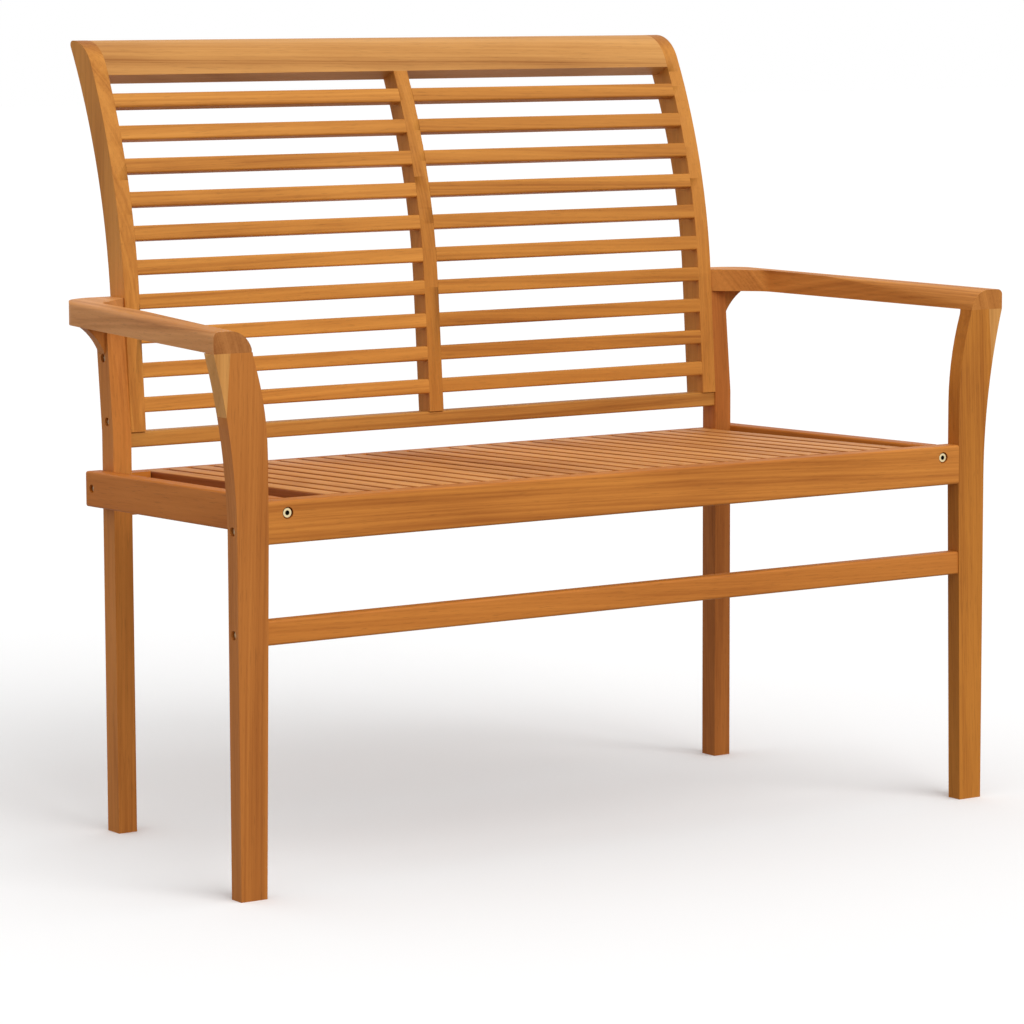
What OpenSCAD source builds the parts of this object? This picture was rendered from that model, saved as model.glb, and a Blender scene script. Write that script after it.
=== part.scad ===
// Two-seat garden bench of solid teak, with a slatted seat and a curved slatted back.
// Millimetres. X runs along the bench, Y to the back, Z up; the origin is on the floor,
// in the middle of the bench's length and depth. Left and right are as seen from the front.

/* [Legs] */
// Length over the outer faces of the front legs at the floor
leg_span = 1066; // [1000:1:1500]
// Width of a front leg at the floor
front_leg_foot_w = 33.5; // [28:0.5:38]
// Width of a front leg where it meets the front rail
front_leg_w = 40; // [38:1:48]
// Depth of a front leg, front to back
front_leg_d = 21; // [20:0.5:30]
// Height at which the outer face of a front leg starts to flare
flare_out_z = 401; // [380:1:440]
// How far the outer face has flared out under the arm
flare_out = 27; // [15:1:32]
// Height at which the inner face of a front leg starts to flare
flare_in_z = 492; // [480:1:520]
// How far the inner face has flared out under the arm
flare_in = 19; // [10:1:22]
// Width of the wedge glued to the outside of the leg, under the arm
flare_wedge_w = 21; // [16:1:23]
// Height of the glued wedge
flare_wedge_h = 70; // [50:1:90]
// Width of a rear leg, along the bench
rear_leg_w = 24.5; // [24:0.5:32]
// Depth of a rear leg, front to back
rear_leg_d = 27; // [25:0.5:36]
// Height at which a rear leg starts to lean back
rear_leg_bend_z = 480; // [470:1:490]
// Angle at which a rear leg leans back above its bend
rear_leg_rake = 5.5; // [2:0.5:8]

/* [Seat frame] */
// Height of the seat at its front edge
seat_z = 442.5; // [430:0.5:455]
// Angle at which the seat slats fall towards the back
seat_slope = 1.5; // [0:0.05:2.5]
// Angle at which the side rails fall towards the back
side_rail_slope = 1.05; // [0:0.05:2]
// Distance from the front of the bench to the front face of a rear leg
seat_d = 415; // [400:1:480]
// Thickness of the front rail
front_rail_t = 24; // [22:1:30]
// Height of the front rail
front_rail_h = 48; // [46:1:60]
// Thickness of a side rail
side_rail_t = 22.5; // [20:0.5:26]
// Height of a side rail
side_rail_h = 42; // [38:1:52]
// Thickness of the rear rail
rear_rail_t = 27; // [25:1:27]
// Thickness of the lip of the rear rail, which stands behind the ends of the slats
rear_lip = 12; // [8:1:13]
// Height of the rear rail under the slats
rear_rail_h = 30; // [27:1:40]
// Width of the cleat behind the front rail
cleat_w = 22; // [18:1:26]
// Height of the cleat behind the front rail
cleat_h = 22; // [22:1:26]
// Thickness of the bearer under the middle of the slats
bearer_t = 22; // [18:1:30]
// Height of the bearer under the middle of the slats
bearer_h = 20; // [17:0.5:20]
// Distance from the front of the bench to the middle of the bearer
bearer_y = 226; // [180:1:280]
// Height of the stretcher's underside above the floor
stretcher_z = 282.5; // [200:0.5:320]
// Height of the stretcher between the front legs
stretcher_h = 28; // [26:0.5:36]
// Thickness of the stretcher between the front legs
stretcher_t = 18; // [15:0.5:20]

/* [Seat slats] */
// Number of seat slats, front to back
seat_slat_count = 27; // [24:1:27]
// Width of a seat slat
seat_slat_w = 24; // [18:0.5:25]
// Gap between two seat slats
seat_slat_gap = 7; // [4:0.5:7]
// Thickness of a seat slat
seat_slat_t = 20; // [18:0.5:22]
// How far the row of slats sits to the right of the bench's middle
seat_slat_shift = 10; // [-10:1:10]

/* [Back] */
// Total height of the bench
back_h = 940; // [900:1:980]
// Length of the back over the outer faces of its stiles
back_w = 865; // [860:1:868]
// Width of an outer stile, along the bench
stile_w = 20; // [18:1:26]
// Thickness of the outer stiles, front to back
stile_t = 35; // [30:1:38]
// Width of the centre stile
centre_stile_w = 20; // [18:1:26]
// Thickness of the centre stile and the crest rail
crest_t = 26; // [22:1:30]
// Height of the crest rail, along the curve of the back
crest_h = 45.5; // [42:0.5:52]
// Radius at which the top of the back rolls over
crest_roll = 50; // [30:1:52]
// Radius of the rear top corner of the back
crest_rear_r = 5; // [2:0.5:6]
// Least length of flat top that is left between the roll and the rear face of the back
crest_flat = 7; // [6.5:0.5:9]
// Height of the bottom rail's underside above the floor
bottom_rail_z = 461.5; // [458:0.5:470]
// Height of the bottom rail of the back
bottom_rail_h = 18.5; // [16:0.5:24]
// Thickness of the bottom rail of the back
bottom_rail_t = 20; // [18:1:24]
// How far the bottom rail sits behind the front of the rear legs
bottom_rail_set = 2; // [0:0.5:5]
// Angle at which the lower, straight part of the back leans back
back_rake = 4; // [1:0.5:6]
// Length of the lower, straight part of the back
back_straight = 154; // [120:1:200]
// Radius of the curve of the back above its straight part
back_r = 760; // [700:5:900]
// Number of slats in each half of the back
back_slat_count = 10; // [8:1:10]
// Height of a back slat
back_slat_h = 18; // [16:0.5:22]
// Thickness of a back slat
back_slat_t = 14; // [13:1:22]

/* [Arms] */
// Height of the arms' underside above the floor, at the front
arm_z = 607.5; // [595:0.5:625]
// Thickness of an arm at its front end
arm_t = 24; // [22:1:30]
// Angle at which the underside of an arm rises towards the back
arm_under_rise = 0.4; // [0:0.1:1]
// Angle at which the top of an arm rises towards the back
arm_top_rise = 0.9; // [0.5:0.05:1.5]
// Length of an arm along its outer edge, front to back
arm_len = 459; // [455:1:480]
// Angle at which the outer edge of an arm runs in towards the back
arm_out_taper = 6.8; // [4:0.1:7]
// Angle at which the inner edge of an arm runs in towards the back
arm_in_taper = 3.6; // [2:0.1:4]
// Radius of the rear outer corner of an arm
arm_corner_r = 54; // [20:1:58]
// Distance from the front of the stile to the bend in the arm's inner edge
arm_bend_back = 46; // [40:1:62]
// Radius of the bend in the arm's inner edge
arm_bend_r = 26; // [10:1:36]
// Distance from the front of the rear leg back to the point where the arm's inner edge meets the stile
arm_meet_back = 1.5; // [0:0.5:5]
// Length over which the arm lies along the stile
arm_hold = 30.2; // [24:0.1:34]
// Length of crisp inner edge in front of the bend, where the roll has run out
arm_flat_l = 110; // [80:1:140]
// Radius of the roll on the inner top edge of an arm, at its front end
arm_roll_r = 29.5; // [27:0.5:34]
// Distance from the outer edge of an arm to the start of its roll, at its front end
arm_crown = 19; // [16:0.5:21]
// Radius of the outer top edge of an arm
arm_edge_r = 7; // [3:0.5:9]
// How far a bracket stands out from the rear leg under the arm
bracket_out = 29; // [24:1:34]
// Height of a bracket
bracket_h = 34; // [30:1:40]
// Thickness of a bracket, front to back
bracket_t = 16; // [12:1:24]
// Radius of the hollow edge of a bracket
bracket_r = 70; // [40:1:120]
// Thickness of the lower end of a bracket
bracket_edge = 0.6; // [0.4:0.1:1]

/* [Joints and fasteners] */
// Rounding of the long edges of the rails
rail_edge_r = 3; // [1:0.5:5]
// Rounding of the long edges of the slats
slat_edge_r = 2.5; // [1:0.5:4]
// Clearance round a tenon in its mortise and round a dowel or screw in its hole
fit_gap = 0.15; // [0.05:0.05:0.3]
// Length of the tenons on the rails and on the outer ends of the back slats
tenon_l = 12; // [8:1:14]
// Length of the tenons that enter the centre stile
centre_tenon_l = 7; // [5:0.5:8]
// Height of the tenons on the ends of the back slats
slat_tenon_h = 12; // [8:1:14]
// Thickness of the tenons on the slats, the crest rail and the stretcher
tenon_t = 10; // [8:1:12]
// Depth that is left free behind the end of a tenon or dowel
end_gap = 0.5; // [0.3:0.1:1]
// Diameter of the bolts that hold the front rail to the side rails
bolt_d = 6; // [5:0.5:8]
// Diameter of a bolt's head
bolt_head_d = 10.5; // [9:0.5:12]
// Thickness of a bolt's head
bolt_head_t = 3; // [2:0.5:4]
// Width across the flats of the six-sided socket in a bolt's head
bolt_socket = 4.5; // [4:0.5:6]
// Depth of that socket
bolt_socket_depth = 2.4; // [1.5:0.1:2.6]
// Width of the free ring round a bolt's head
bolt_head_gap = 1.6; // [0.8:0.1:2]
// Depth to which a bolt's head is sunk below the face of the front rail
bolt_sink = 1.5; // [0:0.5:3]
// Distance from the top of the front rail down to a bolt
bolt_drop = 14; // [12:0.5:24]
// Distance from the front rail back to a barrel nut
barrel_reach = 30; // [24:1:40]
// Diameter of a barrel nut
barrel_d = 10; // [9:0.5:12]
// Length of a barrel nut
barrel_l = 16; // [12:1:18]
// Diameter of the screws that hold the frame
screw_d = 5; // [4:0.5:6]
// Length of the screws that hold the frame
screw_l = 38; // [34:1:42]
// Diameter of the heads of the frame's screws
screw_head_d = 8; // [7:0.5:9]
// Thickness of the heads of the frame's screws
screw_head_t = 3; // [2:0.5:4]
// Diameter of the open recess in which the head of a frame's screw sits
recess_d = 10; // [9.5:0.5:12]
// Depth of wood left open over the head of a frame's screw
recess_t = 3; // [2:0.5:5]
// Height of the screw from a front leg into the front rail
rail_screw_z = 411; // [408:1:418]
// Height of the lower screw from a rear leg into the stile
stile_screw_low_z = 493; // [493:1:510]
// Height of the upper screw from a rear leg into the stile
stile_screw_high_z = 568; // [550:1:572]
// Height of the screw from a side rail into the rear leg
side_screw_z = 415; // [410:1:420]
// Diameter of the screws under the seat slats
slat_screw_d = 4; // [3:0.5:5]
// Length of the screws under the seat slats
slat_screw_l = 34; // [33:1:36]
// Diameter of the countersunk heads under the seat slats
slat_screw_head_d = 8; // [7:0.5:9]
// Height of the countersunk part of such a head
slat_screw_head_t = 3; // [2:0.5:4]
// Thickness of the wood between a seat slat and the head of its screw
slat_screw_seat = 21; // [19:0.5:21]
// Number of screws that hold the cleat to the front rail
cleat_screw_count = 5; // [3:1:7]
// Diameter of the dowels
dowel_d = 8; // [6:1:9]
// Depth to which a dowel enters each of its two pieces
dowel_depth = 12; // [8:1:14]
// Diameter of the small dowels at the feet of the outer stiles and in the brackets
small_dowel_d = 6; // [4:1:6]
// Depth to which a small dowel enters each of its two pieces
small_dowel_depth = 7; // [5:1:7]
// Distance from the arm's underside down to the dowel of a bracket
bracket_dowel_drop = 14; // [13:1:15]
// Height of the tenons on the ends of the crest rail
crest_tenon_h = 22; // [16:1:26]
// Distance from the lower edge of the crest rail up to its tenons
crest_tenon_up = 5; // [4:0.5:8]
// Distance from the underside of the back's bottom rail up to its end dowels
rail_dowel_up = 5.5; // [4:0.5:6]
// Distance from the cleat's underside up to the screws that hold it
cleat_screw_up = 10; // [9:0.5:11]
// Free space between the row of seat slats and each end of the notch in the rear rail
notch_gap = 2; // [1:0.5:4]
// Width by which a tenon is less than its rail at the top and at the bottom together
rail_tenon_step = 12; // [8:1:16]

/* [Hidden] */
// Number of flat steps in a computed arc
arc_steps = 14;
big = 3000;
// How far a body reaches past the face at which it is cut, or past the face that it cuts
over = 10;
// Distance that keeps the side of the body with the arm's roll clear of the arm's own side
roll_clear = 0.5;
$fn = 48;

teak = [0.74, 0.46, 0.23];
teak_light = [0.80, 0.55, 0.32];
teak_dark = [0.64, 0.38, 0.19];
teak_seat = [0.77, 0.50, 0.30];
brass = [0.80, 0.72, 0.52];
steel = [0.62, 0.62, 0.60];

// Faces of the legs and rails, as distances from the middle of the bench
leg_out_foot = leg_span/2;
leg_in_foot = leg_out_foot - front_leg_foot_w;
leg_in_seat = leg_out_foot - front_leg_w;
stile_out = back_w/2;
stile_in = stile_out - stile_w;
rear_leg_out = stile_out + rear_leg_w;
side_rail_out = rear_leg_out + side_rail_t;
centre_in = centre_stile_w/2;

// Radius of an arc that starts upright and moves sideways by s over a height h
function flare_r(h, s) = (h*h + s*s)/(2*s);
// Sideways distance along such an arc at height d above its start
function flare(d, h, s) = d <= 0 ? 0 : flare_r(h, s) - sqrt(pow(flare_r(h, s), 2) - d*d);
function leg_out(z) = leg_out_foot + flare(z - flare_out_z, arm_z - flare_out_z, flare_out);
function leg_in(z) = leg_in_foot - (leg_in_foot - leg_in_seat)*min(z/flare_out_z, 1)
    + flare(z - flare_in_z, arm_z - flare_in_z, flare_in);
arm_out = leg_out(arm_z);
arm_in = leg_in(arm_z);

// Curve of the back: s is the length along its front face, up from the bottom rail
back_z = bottom_rail_z + bottom_rail_h;
bend_y = seat_d + back_straight*sin(back_rake) + back_r*cos(back_rake);
bend_z = back_z + back_straight*cos(back_rake) - back_r*sin(back_rake);
function arc_to_s(a) = back_straight + (a - back_rake)*PI/180*back_r;
function back_angle(s) = s <= back_straight ? back_rake : back_rake + (s - back_straight)/back_r*180/PI;
function back_point(s, off) = s <= back_straight
    ? [seat_d + s*sin(back_rake) + off*cos(back_rake), back_z + s*cos(back_rake) - off*sin(back_rake)]
    : [bend_y - (back_r - off)*cos(back_angle(s)), bend_z + (back_r - off)*sin(back_angle(s))];
function top_angle(off) = asin((back_h - bend_z)/(back_r - off));
function top_y(off) = bend_y - (back_r - off)*cos(top_angle(off));
// Radius of the roll, which can't be larger than the thickness of the back allows
roll_limit = (pow(back_r, 2) - pow(bend_y - top_y(stile_t) + crest_flat, 2) - pow(back_h - bend_z, 2))
    /(2*(back_r - back_h + bend_z));
roll_r = min(crest_roll, roll_limit);
roll_angle = asin((back_h - roll_r - bend_z)/(back_r - roll_r));
s_roll = arc_to_s(roll_angle);
s_top = arc_to_s(top_angle(0));
s_crest = s_top - crest_h;
back_slat_gap = (s_crest - back_slat_count*back_slat_h)/(back_slat_count + 1);
function back_slat_s(i) = (i + 1)*back_slat_gap + (i + 0.5)*back_slat_h;

// Points of an arc of radius r that rounds the corner b between a and c
function unit(v) = v/norm(v);
function half_turn(a, b, c) = acos(unit(a - b)*unit(c - b))/2;
function round_centre(a, b, c, r) = b + unit(unit(a - b) + unit(c - b))*r/sin(half_turn(a, b, c));
function bearing(v) = atan2(v.y, v.x);
function swing(a0, a1) = (a1 - a0 + 540)%360 - 180;
function rounded(a, b, c, r) = let (ctr = round_centre(a, b, c, r), d = r/tan(half_turn(a, b, c)),
    a0 = bearing(b + unit(a - b)*d - ctr), a1 = bearing(b + unit(c - b)*d - ctr))
    [for (i = [0:arc_steps]) let (t = a0 + swing(a0, a1)*i/arc_steps) ctr + r*[cos(t), sin(t)]];
// Rear top corner of a piece of the back that is t thick, as points of its rounding
roll_top_y = bend_y - (back_r - roll_r)*cos(roll_angle);
function rear_face_s(t) = arc_to_s(top_angle(t)) - 4*crest_rear_r;
function rear_corner(t) = rounded([roll_top_y, back_h], [top_y(t), back_h],
    back_point(rear_face_s(t), t), crest_rear_r);
overall_d = max(concat([for (p = rear_corner(stile_t)) p.x], [arm_len]));

// Steps along the curve of the back between s0 and s1, and the outlines made of them
function s_steps(s0, s1) = concat(s0 < back_straight ? [s0] : [],
    [for (i = [0:arc_steps]) max(s0, back_straight) + (s1 - max(s0, back_straight))*i/arc_steps]);
function reversed(list) = [for (i = [len(list) - 1:-1:0]) list[i]];
function back_strip(s0, s1, t) = concat([for (s = s_steps(s0, s1)) back_point(s, 0)],
    [for (s = reversed(s_steps(s0, s1))) back_point(s, t)]);
function roll_points() = [for (i = [1:arc_steps]) let (a = roll_angle + (90 - roll_angle)*i/arc_steps)
    back_point(s_roll, roll_r) + roll_r*[-cos(a), sin(a)]];
function rolled_strip(s0) = concat([for (s = s_steps(s0, s_roll)) back_point(s, 0)], roll_points(),
    rear_corner(stile_t), [for (s = reversed(s_steps(s0, rear_face_s(stile_t)))) back_point(s, stile_t)]);

// Points of an arc of radius r from p to q, with its centre to the left of the way from p to q
function hollow(p, q, r) = let (mid = (p + q)/2, u = unit(q - p), rise = sqrt(r*r - pow(norm(q - p)/2, 2)),
    ctr = mid + rise*[-u.y, u.x], a0 = bearing(p - ctr), a1 = bearing(q - ctr))
    [for (i = [0:arc_steps]) let (t = a0 + swing(a0, a1)*i/arc_steps) ctr + r*[cos(t), sin(t)]];

// Places of the slats and screws of the seat
seat_slat_pitch = seat_slat_w + seat_slat_gap;
seat_slats_w = seat_slat_count*seat_slat_pitch - seat_slat_gap;
slats_left = seat_slat_shift - seat_slats_w/2;
function slat_x(i) = slats_left + (i - 1)*seat_slat_pitch;
function seat_top(y) = seat_z - (y - front_rail_t)*tan(seat_slope);
seat_end = seat_d + rear_leg_d;
cleat_y = front_rail_t + cleat_w/2;
slat_end = seat_end - rear_lip;
rear_rail_y = seat_end - rear_rail_t/2;
rear_screw_y = (seat_end - rear_rail_t + slat_end)/2;
rear_rail_z = seat_top(rear_rail_y) - seat_slat_t - rear_rail_h;
cleat_z = seat_z - seat_slat_t - cleat_h;
function slat_screw_z(y) = seat_top(y) - seat_slat_t - slat_screw_seat;
cleat_screws = [for (k = [0:cleat_screw_count - 1])
    slat_x(2 + round(k*(seat_slat_count - 4)/(cleat_screw_count - 1))) + seat_slat_w + seat_slat_gap/2];

// Places of the bolts, screws and dowels
bolt_x = rear_leg_out + side_rail_t/2;
bolt_z = seat_z - bolt_drop;
barrel_y = front_rail_t + barrel_reach;
stretcher_screw_z = stretcher_z + stretcher_h/2;
leg_screw_y = front_leg_d/2;
side_screw_y = seat_d + rear_leg_d/2;
function rear_leg_y(z) = seat_d + rear_leg_d/2 + max(z - rear_leg_bend_z, 0)*tan(rear_leg_rake);
arm_dowel_front = [(leg_in(arm_z) + leg_out(arm_z) - flare_wedge_w)/2, front_leg_d/2];
arm_dowel_rear = [stile_out + rear_leg_w/2, rear_leg_y(arm_z)];
stile_screw_z = [stile_screw_low_z, stile_screw_high_z];
back_foot_y = seat_d + bottom_rail_set + bottom_rail_t/2;
function arm_under(y) = arm_z + y*tan(arm_under_rise);
rail_tenon = [tenon_l, front_rail_t - rail_tenon_step, front_rail_h - rail_tenon_step];
stretcher_tenon = [tenon_l, tenon_t, stretcher_h - rail_tenon_step];
crest_tenon_s = s_crest + crest_tenon_up + crest_tenon_h/2;
rear_dowel_z = rear_rail_z + rear_rail_h/2;
bearer_dowel_z = seat_top(bearer_y) - seat_slat_t - bearer_h/2;
cleat_screw_z = cleat_z + cleat_screw_up;
bracket_y = rear_leg_y(arm_z - bracket_h/2);

// Puts a piece that is drawn from the front of the bench into the bench's own frame
module placed() translate([0, -overall_d/2, 0]) children();
module both_sides() for (side = [0, 1]) mirror([side, 0, 0]) children();
module left() mirror([1, 0, 0]) children();

// Rectangle with rounded corners, from the origin
module soft_rect(w, h, r) {
    translate([r, 0]) square([w - 2*r, h]);
    translate([0, r]) square([w, h - 2*r]);
    for (x = [r, w - r], y = [r, h - r]) translate([x, y]) circle(r);
}
// Bar along X between x0 and x1, of depth t from y and height h from z
module bar_x(x0, x1, y, z, t, h, r) translate([x0, y, z]) rotate([90, 0, 90])
    linear_extrude(x1 - x0) soft_rect(t, h, r);
// Bar along Y between y0 and y1, of width w from x and height h from z
module bar_y(x, y0, y1, z, w, h, r) translate([x, y1, z]) rotate([90, 0, 0])
    linear_extrude(y1 - y0) soft_rect(w, h, r);
// Outline in X and Z, drawn out along Y between y0 and y1
module plate_xz(y0, y1, points) translate([0, y1, 0]) rotate([90, 0, 0])
    linear_extrude(y1 - y0) polygon(points);
// Outline in Y and Z, drawn out along X between x0 and x1
module plate_yz(x0, x1, points) translate([x0, 0, 0]) rotate([90, 0, 90])
    linear_extrude(x1 - x0) polygon(points);
module rod_x(x0, x1, y, z, d) translate([x0, y, z]) rotate([0, 90, 0]) cylinder(h = x1 - x0, d = d);
module rod_y(x, y0, y1, z, d) translate([x, y1, z]) rotate([90, 0, 0]) cylinder(h = y1 - y0, d = d);
module rod_z(x, y, z0, z1, d) translate([x, y, z0]) cylinder(h = z1 - z0, d = d);
// Block between two corners
module block(lo, hi) translate(lo) cube(hi - lo);

// Tilts what it holds by the given angle, about the top rear edge of the front rail
module seat_tilt(angle) translate([0, front_rail_t, seat_z]) rotate([-angle, 0, 0])
    translate([0, -front_rail_t, -seat_z]) children();
// All that lies lower than the seat's top by more than drop
module below_seat(drop) seat_tilt(seat_slope)
    block([-big, -big, seat_z - drop - big], [big, big, seat_z - drop]);
// All that lies under the arms, and all that lies over their underside
module below_arm() translate([0, 0, arm_z]) rotate([arm_under_rise, 0, 0])
    block([-big, -big, -big], [big, big, 0]);
module above_arm() translate([0, 0, arm_z]) rotate([arm_under_rise, 0, 0])
    block([-big, -big, 0], [big, big, big]);
// Puts its contents on the front face of the back, at length s along the curve
module on_back(s) translate([0, back_point(s, 0)[0], back_point(s, 0)[1]])
    rotate([-back_angle(s), 0, 0]) children();

// Screw with a flat head, and its hole with an open recess for the head. Both point to the
// middle of the bench from the outer face of the piece at x.
module screw_x(x, y, z) {
    rod_x(x - recess_t - screw_head_t, x - recess_t, y, z, screw_head_d);
    rod_x(x - recess_t - screw_l, x - recess_t - screw_head_t/2, y, z, screw_d);
}
module screw_hole_x(x, y, z) {
    rod_x(x - recess_t - screw_head_t, x + over, y, z, recess_d + 2*fit_gap);
    rod_x(x - recess_t - screw_l - end_gap, x, y, z, screw_d + 2*fit_gap);
}
// Countersunk screw that stands up under a seat slat, and its hole
module slat_screw(x, y) {
    translate([x, y, slat_screw_z(y)]) {
        cylinder(h = slat_screw_head_t, d1 = slat_screw_head_d, d2 = slat_screw_d);
        cylinder(h = slat_screw_l, d = slat_screw_d);
    }
}
module slat_screw_hole(x, y) {
    rod_z(x, y, slat_screw_z(y) - 2*slat_screw_seat, slat_screw_z(y), slat_screw_head_d + 2*fit_gap);
    translate([x, y, slat_screw_z(y)])
        cylinder(h = slat_screw_head_t, d1 = slat_screw_head_d + 2*fit_gap, d2 = slat_screw_d + 2*fit_gap);
    rod_z(x, y, slat_screw_z(y), slat_screw_z(y) + slat_screw_l + end_gap, slat_screw_d + 2*fit_gap);
}
module slat_screws_at(i) for (y = [cleat_y, rear_screw_y]) slat_screw_hole(slat_x(i) + seat_slat_w/2, y);
module cleat_screw_hole(x) {
    rod_y(x, front_rail_t + cleat_w - screw_head_t, big, cleat_screw_z, recess_d + 2*fit_gap);
    rod_y(x, front_rail_t + cleat_w - screw_l - end_gap, big, cleat_screw_z, screw_d + 2*fit_gap);
}
module cleat_screw(x) {
    rod_y(x, front_rail_t + cleat_w - screw_head_t, front_rail_t + cleat_w, cleat_screw_z, screw_head_d);
    rod_y(x, front_rail_t + cleat_w - screw_l, front_rail_t + cleat_w - screw_head_t/2, cleat_screw_z, screw_d);
}
// Places of all frame screws on the right side, for the screws and their holes
module at_front_leg_screws() {
    translate([leg_out(rail_screw_z), leg_screw_y, rail_screw_z]) children();
    translate([leg_out(stretcher_screw_z), leg_screw_y, stretcher_screw_z]) children();
}
module at_stile_screws() for (z = stile_screw_z) translate([rear_leg_out, rear_leg_y(z), z]) children();
module at_side_screw() translate([side_rail_out, side_screw_y, side_screw_z]) children();

// Dowels on the right side, longer and wider by gap for their holes
module dowels_right(gap, end) {
    d = dowel_d + 2*gap;
    l = dowel_depth + end;
    ds = small_dowel_d + 2*gap;
    ls = small_dowel_depth + end;
    rod_z(arm_dowel_front.x, arm_dowel_front.y, arm_z - l, arm_z + l, d);
    rod_z(arm_dowel_rear.x, arm_dowel_rear.y, arm_under(arm_dowel_rear.y) - ls,
        arm_under(arm_dowel_rear.y) + l, d);
    rod_x(stile_out - l, stile_out + l, rear_rail_y, rear_dowel_z, d);
    rod_x(rear_leg_out - l, rear_leg_out + l, bearer_y, bearer_dowel_z, d);
    rod_x(stile_out - l, stile_out + l, back_foot_y, bottom_rail_z + rail_dowel_up, ds);
    rod_x(rear_leg_out - ls, rear_leg_out + ls, bracket_y, arm_z - bracket_dowel_drop, ds);
    rod_z(stile_out - stile_w/2, back_foot_y, back_z - ls, back_z + ls, ds);
}
module dowel_centre(gap, end) {
    d = dowel_d + 2*gap;
    l = dowel_depth + end;
    rod_z(0, back_foot_y, back_z - l, back_z + l, d);
    on_back(s_crest) rod_z(0, crest_t/2, -l, l, d);
}
module dowel_holes() {
    both_sides() dowels_right(fit_gap, end_gap);
    dowel_centre(fit_gap, end_gap);
}

// Hole of the bolt through the front rail, with a free ring of the given width round its head, and
// the barrel nut in the side rail or its hole, at the right side
module bolt_hole(gap) {
    rod_y(bolt_x, -over, bolt_sink + bolt_head_t, bolt_z, bolt_head_d + 2*gap);
    rod_y(bolt_x, 0, barrel_y + barrel_d/2 + end_gap, bolt_z, bolt_d + 2*fit_gap);
}
module barrel_nut(gap) rod_x(bolt_x - barrel_l/2 - (gap > 0 ? side_rail_t : 0), bolt_x + barrel_l/2 + gap,
    barrel_y, bolt_z, barrel_d + 2*gap);

// Tenon of the given length, thickness and height, standing out along X from x
module tenon_x(x, y, z, size, gap) block([x - over, y - size[1]/2 - gap, z - size[2]/2 - gap],
    [x + size[0] + (gap > 0 ? end_gap : 0), y + size[1]/2 + gap, z + size[2]/2 + gap]);
module front_tenons(gap) {
    tenon_x(leg_in(rail_screw_z), front_rail_t/2, seat_z - front_rail_h/2, rail_tenon, gap);
    tenon_x(leg_in(stretcher_screw_z), front_leg_d/2, stretcher_screw_z, stretcher_tenon, gap);
}
module back_slat_tenons(gap) for (i = [0:back_slat_count - 1]) on_back(back_slat_s(i)) {
    tenon_x(stile_in, back_slat_t/2, 0, [tenon_l, tenon_t, slat_tenon_h], gap);
    mirror([1, 0, 0]) tenon_x(-centre_in, back_slat_t/2, 0, [centre_tenon_l, tenon_t, slat_tenon_h], gap);
}
module crest_tenon(gap) on_back(crest_tenon_s)
    tenon_x(stile_in, crest_t/2, 0, [tenon_l, tenon_t, crest_tenon_h], gap);

// Heights at which the outline of a front leg has its points
flare_zs = [for (i = [0:arc_steps]) flare_out_z + (arm_z + over - flare_out_z)*i/arc_steps];
wedge_z = arm_z - flare_wedge_h;
function wedge_line(z) = leg_out(wedge_z)
    + (arm_out - flare_wedge_w - leg_out(wedge_z))*(z - wedge_z)/flare_wedge_h;
module leg_outline() {
    inner = [for (z = reversed(flare_zs)) [leg_in(min(z, arm_z)), z]];
    outer = [for (z = flare_zs) [min(leg_out(min(z, arm_z)), z > wedge_z ? wedge_line(z) : big), z]];
    corner = [[leg_out(wedge_z), wedge_z]];
    low = [for (p = outer) if (p[1] <= wedge_z) p];
    high = [for (p = outer) if (p[1] > wedge_z) p];
    plate_xz(0, front_leg_d, concat([[leg_in_foot, 0], [leg_out_foot, 0]], low, corner, high, inner));
}
module front_leg() color(teak) placed() difference() {
    intersection() {
        leg_outline();
        below_arm();
    }
    front_tenons(fit_gap);
    at_front_leg_screws() screw_hole_x(0, 0, 0);
    dowel_holes();
}
module front_leg_right() front_leg();
module front_leg_left() left() front_leg();

// Wedge glued to the outside of the leg, which carries the arm's outer edge
module leg_flare() color(teak_light) placed() intersection() {
    plate_xz(0, front_leg_d, concat([[leg_out(wedge_z), wedge_z]],
        [for (i = [1:arc_steps]) let (z = wedge_z + flare_wedge_h*i/arc_steps) [leg_out(z), z]],
        [[arm_out, arm_z + over], [wedge_line(arm_z + over), arm_z + over]]));
    below_arm();
}
module leg_flare_right() leg_flare();
module leg_flare_left() left() leg_flare();

// Rear leg, upright to above the seat and then leaning back with the stile that it is screwed to
module rear_leg() color(teak) placed() difference() {
    intersection() {
        plate_yz(stile_out, rear_leg_out, [[seat_d, 0], [seat_end, 0],
            [seat_end, rear_leg_bend_z], [rear_leg_y(arm_z + over) + rear_leg_d/2, arm_z + over],
            [rear_leg_y(arm_z + over) - rear_leg_d/2, arm_z + over], [seat_d, rear_leg_bend_z]]);
        below_arm();
    }
    at_stile_screws() screw_hole_x(0, 0, 0);
    at_side_screw() screw_hole_x(0, 0, 0);
    dowel_holes();
}
module rear_leg_right() rear_leg();
module rear_leg_left() left() rear_leg();

// Side rail from the front rail to the outer face of the rear leg
module side_rail() color(teak_dark) placed() difference() {
    intersection() {
        seat_tilt(side_rail_slope)
            bar_y(rear_leg_out, 0, seat_end + over, seat_z - side_rail_h,
                side_rail_t, side_rail_h, rail_edge_r);
        block([0, front_rail_t, 0], [big, seat_end, big]);
    }
    bolt_hole(bolt_head_gap);
    barrel_nut(fit_gap);
    at_side_screw() screw_hole_x(0, 0, 0);
    dowel_holes();
}
module side_rail_right() side_rail();
module side_rail_left() left() side_rail();

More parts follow.
